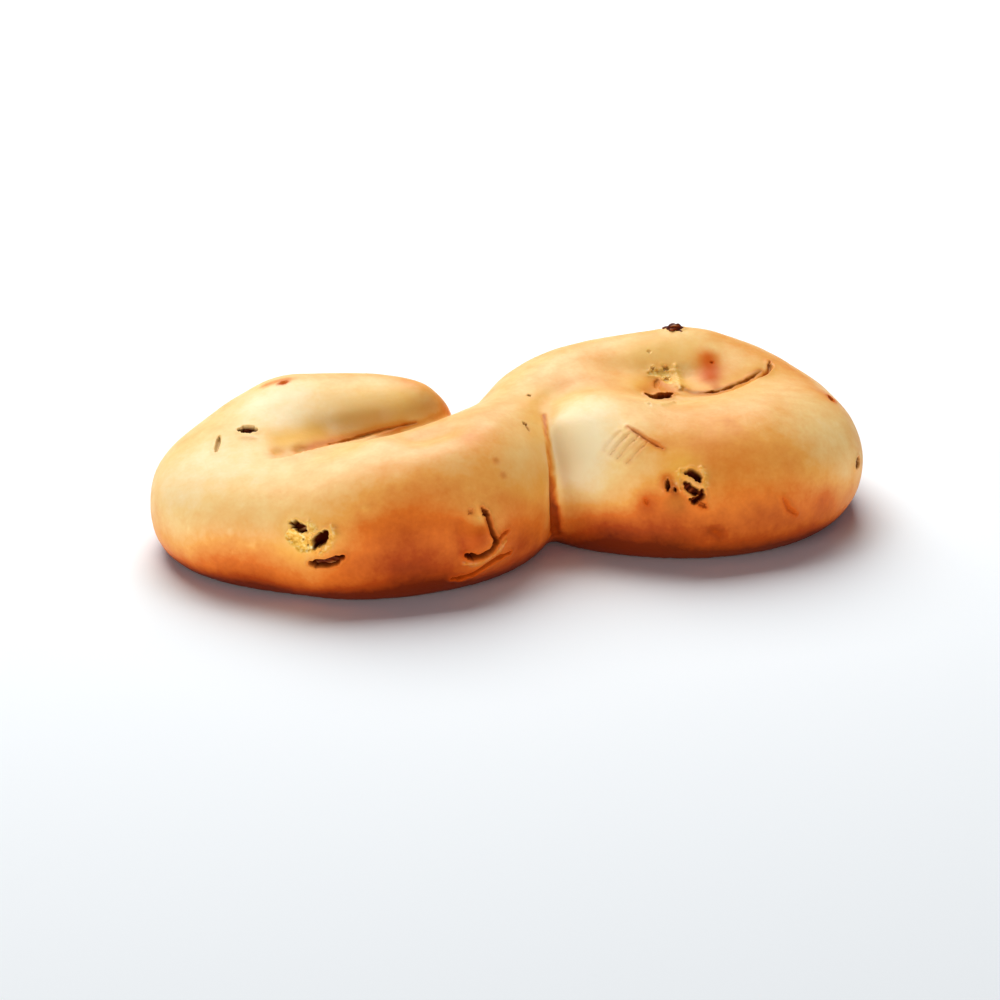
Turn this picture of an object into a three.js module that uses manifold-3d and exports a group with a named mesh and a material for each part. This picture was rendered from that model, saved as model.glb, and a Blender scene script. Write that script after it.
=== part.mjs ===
// Saffron bun: one rope of dough bent into an S with both ends curled in, studded with raisins.
// Millimetres, +X along the length, +Z up, origin under the middle of the box around the part.
import * as THREE from 'three';
import { mergeVertices } from 'three/addons/utils/BufferGeometryUtils.js';
import Module from 'manifold-3d';

// ---- driving dimensions -------------------------------------------------------------------
// The rope's centre line in plan from the left end to the right end, with its half width and
// its height at each place: [x, y, halfWidth, height].
const ROPE = [
  [-19, 12.5, 13, 30], [-41, 18.5, 18, 30.5], [-52, 9, 19.5, 29.5],       // left end, curled in
  [-58.5, 3, 21.5, 22.5], [-44.5, -11, 19.5, 24.5],                       // left turn
  [-36, -18, 17, 27], [-15, -14.5, 18, 30], [0, 0, 14, 27.5],             // front, then across
  [18, 18, 17, 30.5], [36.5, 21, 13.5, 31], [54, 20, 17, 29.5],           // back right
  [58.5, 1.5, 19.5, 23.5], [53.5, -12.5, 20, 28.5],                       // right turn
  [35, -16.5, 19, 26], [14, -6.5, 17, 32],                                // right end
];
// Spans of ROPE that have risen into each other in the oven; a crease stays where two meet.
const STRANDS = [[0, 4], [2, 12], [10, 14]];
// Dough that has filled the hollow between two neighbouring strands: [x, y, halfWidth, height].
const FILLS = [
  [[-50, -1, 9, 24], [-39, 2, 10, 23], [-27, 4.5, 9, 21.5], [-16, 5.5, 8, 22.5]],
  [[50, 4, 12, 25], [39, 4, 12, 24.5], [27, 5, 12, 27], [16, 5, 12, 28.5]],
];
// Creases that run on over the top where the strands have grown together, in plan.
const CREASES = [
  { path: [[-56, -6.5], [-50, -7.5], [-43, -4.3], [-34.7, -0.7], [-27, 2.1], [-19, 4]],
    depth: 1.4, halfWidth: 3 },
  { path: [[30, -1], [38, -0.8], [43.2, -2.6], [48, -1], [55.7, 4.1], [61, 7], [65, 12]],
    depth: 1.4, halfWidth: 3 },
];
const WIDEST_Z = 10;          // height at which the rope is widest
const UNDERCUT = 5;           // how far the round of the rope would go on below the tray
const ROUND = 2.5;            // power of the cross section: 2 is an ellipse, more is boxier
const BEADS_PER_SPAN = 7;     // soft beads that make up one span of the rope
const BEAD_SOFTNESS = 3.2;
const CREASE_BLEND = 1.5;     // how far two strands melt into each other at a crease
const FILL_BLEND = 6;
const WALL_SCALE = 17;        // turns the field into millimetres near the crust
const GRID = 2.9;             // edge of one facet of the dough
const CELL_MARGIN = 0.25;     // how far a vertex keeps inside its own cell of the grid
const SNAP = 0.02;            // cut edges shorter than this are closed up

// Raisins: [name, near this point [x, y, z], size [long, wide, thick], turn about the crust's
// normal in degrees, how far the raisin stands out of the dough].
const RAISINS = [
  ['raisin_left_front_upper', [-51.5, -28.3, 15.6], [10, 7.5, 6], 35, 1.2],
  ['raisin_left_front_lower', [-47.8, -31.4, 10], [9, 5.5, 5], -8, 0.8],
  ['raisin_middle_front', [-16.9, -33.3, 12.3], [9.5, 8, 7], 75, 0.9],
  ['raisin_left_top', [-56.2, 4.3, 25.6], [9, 5, 5], 5, 0.5],
  ['raisin_left_rim', [-45.9, 19, 30], [9, 6, 5.5], 15, 0.5],
  ['raisin_right_front', [28.6, -32.1, 17.6], [10.5, 9, 6.5], 40, 1.2],
  ['raisin_right_crease', [35.1, 4.5, 25.1], [9.5, 8, 7], 20, 0.9],
  ['raisin_right_rim', [44.8, 22.8, 30.5], [6.5, 5.5, 5], 0, 1.6],
  ['raisin_right_top', [49, 10.1, 25.9], [9.5, 7, 6], -20, 0.5],
  ['raisin_right_side', [72, -18.5, 12.3], [9, 6.5, 6], 60, 0.7],
  ['raisin_back_right', [52, 35, 14], [10, 7.5, 6], 30, 1.2],
  ['raisin_back_middle', [19, 34, 11], [9.5, 7, 6.5], -15, 1.0],
  ['raisin_back_left', [-33, 33, 15.5], [10.5, 8.5, 6.5], 55, 1.5],
  ['raisin_back_end', [-66, 19, 12], [9, 6.5, 5.5], -40, 0.8],
];
const SWELL_HEIGHT = 0.7;     // how much the crust is lifted around a raisin
const SWELL_RADIUS = 7;
const RAISIN_GAP = 0.3;       // clearance between a raisin and its pocket
const RAISIN_DETAIL = 2;      // subdivision of a raisin's solid
const WRINKLE = 0.07;         // depth of a raisin's folds as a share of its size

const DOUGH = new THREE.MeshStandardMaterial({ color: 0xd08a45, roughness: 0.5, metalness: 0 });
const RAISIN = new THREE.MeshStandardMaterial({ color: 0x3a1b12, roughness: 0.4, metalness: 0 });

// ---- the rope as a field: negative inside the dough ------------------------------------------
// Beads along the rope between two of its control points.
function beadsOf(rows, first, last) {
  const line = (f) => new THREE.CatmullRomCurve3(rows.map(f), false, 'catmullrom', 0.5);
  const places = line(([x, y]) => new THREE.Vector3(x, y, 0));
  const sizes = line(([, , w, h]) => new THREE.Vector3(w, h, 0));
  const total = (rows.length - 1) * BEADS_PER_SPAN;
  const beads = [];
  for (let i = first * BEADS_PER_SPAN; i <= last * BEADS_PER_SPAN; i++) {
    const at = places.getPoint(i / total), size = sizes.getPoint(i / total);
    beads.push({ x: at.x, y: at.y, halfWidth: size.x, height: size.y, share: 0 });
  }
  for (let i = 1; i < beads.length; i++) {
    const half = Math.hypot(beads[i].x - beads[i - 1].x, beads[i].y - beads[i - 1].y) / 2;
    beads[i - 1].share += half;
    beads[i].share += half;
  }
  beads[0].share *= 2;
  beads[beads.length - 1].share *= 2;
  const norm = Math.sqrt(BEAD_SOFTNESS / Math.PI);
  for (const bead of beads) bead.share *= norm / bead.halfWidth;
  return beads;
}

// How far a place in plan is from the rope's middle (0) towards its edge (1), and the height there.
function planOf(beads, x, y) {
  let sum = 0, heights = 0;
  for (const { x: bx, y: by, halfWidth, height, share } of beads) {
    const r2 = ((x - bx) ** 2 + (y - by) ** 2) / halfWidth ** 2;
    const e = share * Math.exp(-BEAD_SOFTNESS * r2);
    sum += e;
    heights += e * height;
  }
  sum = Math.max(sum, 1e-30);
  return { reach: -Math.log(sum) / BEAD_SOFTNESS, height: heights / sum };
}

function strandField({ reach, height }, z) {
  const half = z > WIDEST_Z ? height - WIDEST_Z : WIDEST_Z + UNDERCUT;
  const q = reach + Math.abs((z - WIDEST_Z) / half) ** ROUND;
  return (Math.sqrt(Math.max(q, 1e-6)) - 1) * WALL_SCALE;
}

function blend(a, b, width) {
  const h = Math.min(Math.max(0.5 + 0.5 * (b - a) / width, 0), 1);
  return b + (a - b) * h - width * h * (1 - h);
}

// Distance in plan to a crease's line, and how much of its depth it has there.
const creaseLines = CREASES.map(({ path, depth, halfWidth }) => {
  const line = new THREE.CatmullRomCurve3(path.map(([x, y]) => new THREE.Vector3(x, y, 0)),
    false, 'catmullrom', 0.5);
  return { points: line.getPoints(59), depth, halfWidth };
});
function creaseDepth({ points, depth, halfWidth }, x, y) {
  let best = Infinity, along = 0;
  for (let i = 0; i + 1 < points.length; i++) {
    const dx = points[i + 1].x - points[i].x, dy = points[i + 1].y - points[i].y;
    let t = ((x - points[i].x) * dx + (y - points[i].y) * dy) / (dx * dx + dy * dy);
    t = Math.min(Math.max(t, 0), 1);
    const d = Math.hypot(x - points[i].x - t * dx, y - points[i].y - t * dy);
    if (d < best) { best = d; along = (i + t) / (points.length - 1); }
  }
  const taper = Math.min(1, 4 * along, 6 * (1 - along));
  return depth * taper * Math.exp(-((best / halfWidth) ** 2));
}

const strandBeads = STRANDS.map(([first, last]) => beadsOf(ROPE, first, last));
const fillBeads = FILLS.map((rows) => beadsOf(rows, 0, rows.length - 1));

function doughField(x, y, z, swells = []) {
  const [left, middle, right] = strandBeads.map((beads) => strandField(planOf(beads, x, y), z));
  let f = blend(blend(left, middle, CREASE_BLEND), right, CREASE_BLEND);
  for (const beads of fillBeads) f = blend(f, strandField(planOf(beads, x, y), z), FILL_BLEND);
  if (z > WIDEST_Z) for (const line of creaseLines) f += creaseDepth(line, x, y);
  for (const { at } of swells) {
    const r2 = (x - at.x) ** 2 + (y - at.y) ** 2 + (z - at.z) ** 2;
    f -= SWELL_HEIGHT * Math.exp(-r2 / SWELL_RADIUS ** 2);
  }
  return f;
}

// Moves a point onto the crust and returns the crust's normal there.
function toCrust(point, swells, steps) {
  const normal = new THREE.Vector3(), h = 0.25;
  for (let i = 0; i < steps; i++) {
    const { x, y, z } = point;
    const f = doughField(x, y, z, swells);
    normal.set(doughField(x + h, y, z, swells) - f, doughField(x, y + h, z, swells) - f,
      doughField(x, y, z + h, swells) - f).divideScalar(h);
    point.addScaledVector(normal, -f / Math.max(normal.lengthSq(), 0.05));
  }
  return normal.normalize();
}

// ---- crust as a closed mesh: one vertex in each cell that the crust passes through ----------
function crustGeometry(swells) {
  const low = new THREE.Vector3(-85.2, -42, -14), high = new THREE.Vector3(84, 44, 38);
  const size = high.clone().sub(low).divideScalar(GRID).ceil().addScalar(1);
  const [nx, ny, nz] = size.toArray();
  const at = (i, j, k) => (i * ny + j) * nz + k;
  const values = new Float64Array(nx * ny * nz);
  for (let i = 0; i < nx; i++) for (let j = 0; j < ny; j++) for (let k = 0; k < nz; k++) {
    values[at(i, j, k)] = doughField(low.x + i * GRID, low.y + j * GRID, low.z + k * GRID, swells);
  }
  const vertexOf = new Int32Array(nx * ny * nz).fill(-1), positions = [];
  const corners = [0, 1, 2, 3, 4, 5, 6, 7].map((n) => [n & 1, (n >> 1) & 1, (n >> 2) & 1]);
  const edges = [];
  for (const a of corners) for (let axis = 0; axis < 3; axis++) {
    if (!a[axis]) edges.push([a, a.map((v, n) => (n === axis ? 1 : v))]);
  }
  for (let i = 0; i + 1 < nx; i++) for (let j = 0; j + 1 < ny; j++) for (let k = 0; k + 1 < nz; k++) {
    const sum = new THREE.Vector3();
    let count = 0;
    for (const [a, b] of edges) {
      const va = values[at(i + a[0], j + a[1], k + a[2])], vb = values[at(i + b[0], j + b[1], k + b[2])];
      if ((va < 0) === (vb < 0)) continue;
      const t = va / (va - vb);
      sum.add(new THREE.Vector3(...a.map((v, n) => v + t * (b[n] - v))));
      count++;
    }
    if (!count) continue;
    const corner = new THREE.Vector3(i, j, k).multiplyScalar(GRID).add(low);
    const vertex = sum.divideScalar(count).multiplyScalar(GRID).add(corner);
    toCrust(vertex, swells, 2);
    vertex.clamp(corner.clone().addScalar(CELL_MARGIN), corner.clone().addScalar(GRID - CELL_MARGIN));
    vertexOf[at(i, j, k)] = positions.length / 3;
    positions.push(...vertex.toArray());
  }
  // one square for each grid edge that crosses the crust, wound outwards
  const index = [];
  for (let i = 1; i + 1 < nx; i++) for (let j = 1; j + 1 < ny; j++) for (let k = 1; k + 1 < nz; k++) {
    const here = values[at(i, j, k)] < 0;
    for (let axis = 0; axis < 3; axis++) {
      const step = [0, 0, 0]; step[axis] = 1;
      if (here === (values[at(i + step[0], j + step[1], k + step[2])] < 0)) continue;
      const u = [0, 0, 0], v = [0, 0, 0];
      u[(axis + 1) % 3] = 1; v[(axis + 2) % 3] = 1;
      const cell = (su, sv) => vertexOf[at(...[i, j, k].map((n, m) => n - su * u[m] - sv * v[m]))];
      const [a, b, c, d] = [cell(1, 1), cell(0, 1), cell(0, 0), cell(1, 0)];
      index.push(...(here ? [a, b, c, a, c, d] : [a, c, b, a, d, c]));
    }
  }
  const geometry = new THREE.BufferGeometry();
  geometry.setAttribute('position', new THREE.Float32BufferAttribute(positions, 3));
  geometry.setIndex(index);
  return geometry;
}

// ---- raisins ---------------------------------------------------------------------------------
// A dented ellipsoid with a few folds along its length; `grow` makes the pocket it sits in.
function raisinGeometry({ size, at, turn, seed }, grow = 0) {
  const unit = new THREE.IcosahedronGeometry(1, RAISIN_DETAIL);
  unit.deleteAttribute('uv');
  unit.deleteAttribute('normal');
  const geometry = mergeVertices(unit, 1e-4), place = geometry.getAttribute('position');
  const p = new THREE.Vector3();
  for (let i = 0; i < place.count; i++) {
    p.fromBufferAttribute(place, i);
    const around = Math.atan2(p.z, p.y);
    const folds = Math.cos(5 * around + 2.2 * p.x + seed) + 0.6 * Math.cos(3 * around - 3 * p.x + 2 * seed);
    const reach = 1 - WRINKLE * (1 - p.x * p.x) * (1 + folds / 1.6) / 2;
    p.multiplyScalar(reach).multiply(new THREE.Vector3(size[0] / 2 + grow, size[1] / 2 + grow,
      size[2] / 2 + grow));
    p.applyQuaternion(turn).add(at);
    place.setXYZ(i, p.x, p.y, p.z);
  }
  return geometry;
}

// Where a raisin sits: its middle under the crust and its turn so that it lies along the crust.
function seat([name, near, size, degrees, standsOut], order) {
  const at = new THREE.Vector3(...near);
  const normal = toCrust(at, [], 8);
  const level = new THREE.Vector3(0, 0, 1).cross(normal);
  if (level.lengthSq() < 0.05) level.set(1, 0, 0);
  level.addScaledVector(normal, -level.dot(normal)).normalize();
  level.applyAxisAngle(normal, THREE.MathUtils.degToRad(degrees));
  const across = new THREE.Vector3().crossVectors(normal, level);
  const turn = new THREE.Quaternion().setFromRotationMatrix(
    new THREE.Matrix4().makeBasis(level, across, normal));
  const lift = standsOut + SWELL_HEIGHT - size[2] / 2;
  return { name, size, turn, seed: 1.7 * order, crust: { at: at.clone() },
    at: at.clone().addScaledVector(normal, lift) };
}
const raisins = RAISINS.map(seat);
const swells = raisins.map(({ crust }) => crust);

// ---- joining and cutting -----------------------------------------------------------------------
const wasm = await Module();
wasm.setup();
function toSolid(geometry) {
  return new wasm.Manifold(new wasm.Mesh({ numProp: 3,
    vertProperties: Float32Array.from(geometry.getAttribute('position').array),
    triVerts: Uint32Array.from(geometry.index.array) }));
}
// Vertices closer than SNAP become one, and the triangles between them go.
function toGeometry(solid) {
  const mesh = solid.getMesh(), loose = new THREE.BufferGeometry();
  const snapped = Float32Array.from(mesh.vertProperties, (v) => Math.round(v / SNAP) * SNAP);
  loose.setAttribute('position', new THREE.BufferAttribute(snapped, 3));
  loose.setIndex(new THREE.BufferAttribute(Uint32Array.from(mesh.triVerts), 1));
  const geometry = mergeVertices(loose, SNAP / 4), index = geometry.index.array, kept = [];
  for (let t = 0; t < index.length; t += 3) {
    const [a, b, c] = index.slice(t, t + 3);
    if (a !== b && b !== c && c !== a) kept.push(a, b, c);
  }
  geometry.setIndex(kept);
  return geometry;
}
function boxGeometry(width, depth, height, middle) {
  const box = new THREE.BoxGeometry(width, depth, height).translate(...middle);
  box.deleteAttribute('uv');
  box.deleteAttribute('normal');
  return mergeVertices(box);
}

let dough = toSolid(crustGeometry(swells));
dough = dough.subtract(toSolid(boxGeometry(200, 120, 20, [0, 0, -10])));      // flat on the tray
for (const raisin of raisins) dough = dough.subtract(toSolid(raisinGeometry(raisin, RAISIN_GAP)));

// ---- the part ----------------------------------------------------------------------------------
const group = new THREE.Group();
group.name = 'saffron_bun';
function add(name, geometry, material) {
  geometry.computeVertexNormals();
  const mesh = new THREE.Mesh(geometry, material.clone());
  mesh.name = name;
  group.add(mesh);
}
add('dough', toGeometry(dough), DOUGH);
for (const raisin of raisins) add(raisin.name, raisinGeometry(raisin), RAISIN);

const box = new THREE.Box3().setFromObject(group), middle = box.getCenter(new THREE.Vector3());
for (const mesh of group.children) mesh.geometry.translate(-middle.x, -middle.y, -box.min.z);

export default group;
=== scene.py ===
"""A saffron bun: one rope of dough baked into an S, egg-washed, with raisins that have torn its crust."""
import math
from collections import namedtuple

import bmesh
import bpy
import numpy as np
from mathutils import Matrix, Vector


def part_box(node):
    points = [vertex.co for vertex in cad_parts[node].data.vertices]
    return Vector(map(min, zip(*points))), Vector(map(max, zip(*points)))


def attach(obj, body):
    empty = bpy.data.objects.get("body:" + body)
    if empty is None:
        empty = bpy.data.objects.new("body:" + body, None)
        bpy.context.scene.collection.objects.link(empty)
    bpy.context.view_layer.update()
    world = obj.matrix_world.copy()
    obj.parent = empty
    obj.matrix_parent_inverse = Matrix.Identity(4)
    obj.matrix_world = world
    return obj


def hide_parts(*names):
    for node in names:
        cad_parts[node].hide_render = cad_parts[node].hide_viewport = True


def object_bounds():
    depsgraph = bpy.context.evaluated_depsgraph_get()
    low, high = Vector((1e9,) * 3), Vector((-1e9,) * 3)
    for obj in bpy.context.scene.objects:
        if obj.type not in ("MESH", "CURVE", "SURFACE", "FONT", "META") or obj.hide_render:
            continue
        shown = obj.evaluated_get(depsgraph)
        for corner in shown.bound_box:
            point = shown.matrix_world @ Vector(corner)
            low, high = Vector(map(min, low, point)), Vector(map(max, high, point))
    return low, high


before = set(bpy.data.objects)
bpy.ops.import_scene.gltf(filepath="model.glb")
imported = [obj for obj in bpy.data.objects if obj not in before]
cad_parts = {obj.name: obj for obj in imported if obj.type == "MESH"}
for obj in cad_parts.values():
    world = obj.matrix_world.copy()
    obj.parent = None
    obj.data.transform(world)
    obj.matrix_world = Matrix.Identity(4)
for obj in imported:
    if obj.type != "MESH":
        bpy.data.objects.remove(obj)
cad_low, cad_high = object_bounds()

MM = 0.001                     # shapes are worked out in millimetres and stored in metres

# ---- the rope of dough, as the solids have it ----
# Centre line in plan from the left end to the right end: x, y, half width, height.
ROPE = [(-19, 12.5, 13, 30), (-41, 18.5, 18, 30.5), (-52, 9, 19.5, 29.5),
        (-58.5, 3, 21.5, 22.5), (-44.5, -11, 19.5, 24.5),
        (-36, -18, 17, 27), (-15, -14.5, 18, 30), (0, 0, 14, 27.5),
        (18, 18, 17, 30.5), (36.5, 21, 13.5, 31), (54, 20, 17, 29.5),
        (58.5, 1.5, 19.5, 23.5), (53.5, -12.5, 20, 28.5),
        (35, -16.5, 19, 26), (14, -6.5, 17, 32)]
STRANDS = [(0, 4), (2, 12), (10, 14)]      # spans of ROPE that rose against each other
# Short rows of the same four measures, for the dough in the hollows of the two lobes.
FILLS = [[(-50, -1, 9, 24), (-39, 2, 10, 23), (-27, 4.5, 9, 21.5), (-16, 5.5, 8, 22.5)],
         [(50, 4, 12, 25), (39, 4, 12, 24.5), (27, 5, 12, 27), (16, 5, 12, 28.5)]]
WIDEST_Z = 10.0                # height at which the rope is widest
UNDERCUT = 5.0                 # how far below the tray its round underside would close
ROUND = 2.5                    # 2 is an ellipse, more is fuller
BEADS_PER_SPAN, BEAD_SOFTNESS = 7, 3.2
CREASE_BLEND, FILL_BLEND = 2.5, 6.0        # width of the rounding where strands and fills meet
WALL_SCALE = 17.0              # makes the field about millimetres

# Raisins as the solids have them: node, near this point, (long, wide, thick), turn about the
# crust's normal, stands out by. Most show only through splits, with the crust closed over them.
RAISINS = [
    ("raisin_left_front_upper", (-51.5, -28.3, 15.6), (10, 7.5, 6), 35, 1.2),
    ("raisin_left_front_lower", (-47.8, -31.4, 10), (9, 5.5, 5), -8, 0.8),
    ("raisin_middle_front", (-16.9, -33.3, 12.3), (9.5, 8, 7), 75, 0.9),
    ("raisin_left_top", (-56.2, 4.3, 25.6), (9, 5, 5), 5, 0.5),
    ("raisin_left_rim", (-45.9, 19, 30), (9, 6, 5.5), 15, 0.5),
    ("raisin_right_front", (28.6, -32.1, 17.6), (10.5, 9, 6.5), 40, 1.2),
    ("raisin_right_crease", (35.1, 4.5, 25.1), (9.5, 8, 7), 20, 0.9),
    ("raisin_right_rim", (44.8, 22.8, 30.5), (6.5, 5.5, 5), 0, 1.6),
    ("raisin_right_top", (49, 10.1, 25.9), (9.5, 7, 6), -20, 0.5),
    ("raisin_right_side", (72, -18.5, 12.3), (9, 6.5, 6), 60, 0.7),
    ("raisin_back_right", (52, 35, 14), (10, 7.5, 6), 30, 1.2),
    ("raisin_back_middle", (19, 34, 11), (9.5, 7, 6.5), -15, 1.0),
    ("raisin_back_left", (-33, 33, 15.5), (10.5, 8.5, 6.5), 55, 1.5),
    ("raisin_back_end", (-66, 19, 12), (9, 6.5, 5.5), -40, 0.8),
]
SWELL_HEIGHT, SWELL_RADIUS = 0.7, 7.0      # the crust rises over each raisin
COVER = 0.85                   # crust over a raisin that shows only through its splits
BARE = {"raisin_right_rim": 1.6}           # this one stands out of the crust by this much

# ---- the photograph's camera, in the rope's millimetres ----
CAMERA_AT = np.array([-157.7, -532.3, 245.7])
CAMERA_LOOKS_AT = np.array([-3.6, -3.8, 6.6])
PIXELS = 1000                  # the image's side
FOCAL_PIXELS = 2802
SENSOR = 36.0                  # the camera's own sensor width
SIGHT_START, SIGHT_STEPS = 480.0, 150      # where a line of sight starts, and its steps to the crust

# ---- seams: a strand overlaps the one behind it ----
# Pixels of the photograph along the nearer strand's edge, with the strand behind on the left of the
# path; how far the strand behind dips in mm and how far back that reaches; how far the nearer edge
# stands up and how far that reaches; shares of the length over which it fades in and out.
Seam = namedtuple("Seam", "path dip dip_reach lip lip_reach fade_in fade_out")
SEAMS = [
    Seam([(262, 459), (278, 457.5), (295, 454), (318, 447), (337, 443.5), (356, 440), (372, 435),
         (387, 431.5), (404, 428)], dip=1.4, dip_reach=4.5, lip=0.35, lip_reach=3.0, fade_in=0.2,
         fade_out=0.5),
    Seam([(672, 392), (685, 396), (700, 396.5), (708, 396.5), (716, 395.5), (728, 392), (740, 388),
         (752, 382), (765, 377), (771, 371), (773, 364)], dip=0.9, dip_reach=3.0, lip=0.3,
         lip_reach=2.5, fade_in=0.25, fade_out=0.15),
    Seam([(556, 533), (555.5, 510), (554, 490), (552.5, 472), (550, 455), (547.5, 436), (546, 422),
         (544, 408)], dip=1.0, dip_reach=2.0, lip=0.3, lip_reach=2.0, fade_in=0.02, fade_out=0.5),
]

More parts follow.
